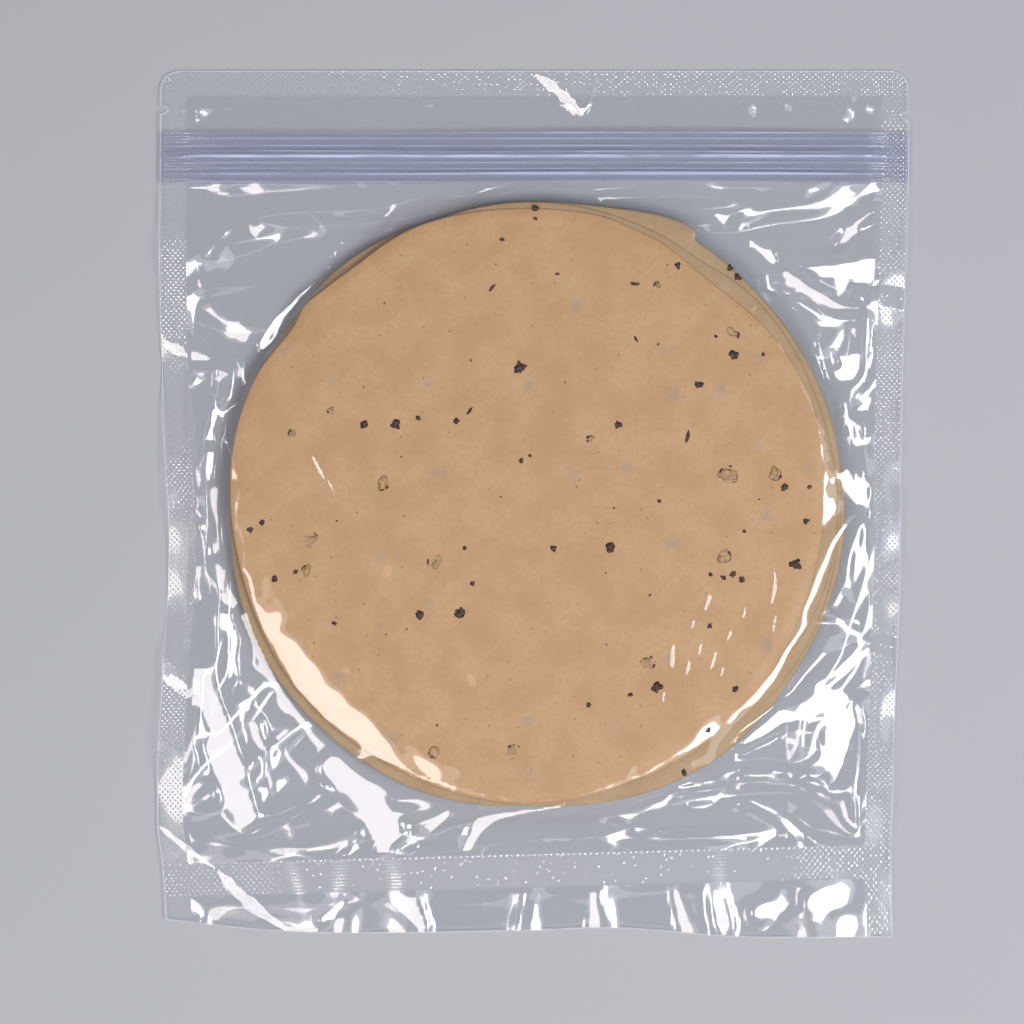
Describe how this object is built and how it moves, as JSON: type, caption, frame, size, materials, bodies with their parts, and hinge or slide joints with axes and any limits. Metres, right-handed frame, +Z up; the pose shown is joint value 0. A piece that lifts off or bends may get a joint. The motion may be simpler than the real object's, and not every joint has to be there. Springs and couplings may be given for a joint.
{
  "type": "papadum pack",
  "caption": "Flat clear resealable pouch, heat-sealed all round with a press-to-close zip, that holds a low stack of thin raw papadum discs flecked with cracked pepper.",
  "frame": {"origin": "middle of the pouch's outline, on the table that it lies on", "axes": "+X across the pouch, +Y towards the zip, +Z up out of the front film"},
  "size_m": [0.2082, 0.2402, 0.009],
  "materials": {
    "clear_film": "glossy clear film over pale tan papadums",
    "zip_plastic": "translucent, faintly blue",
    "papadum": "smooth dried dough, faintly translucent",
    "pepper": "dark cracked pepper and pale husk"
  },
  "bodies": {
    "root": {"pouch": "clear_film", "zip_strip": "zip_plastic"}
  },
  "joints": []
}
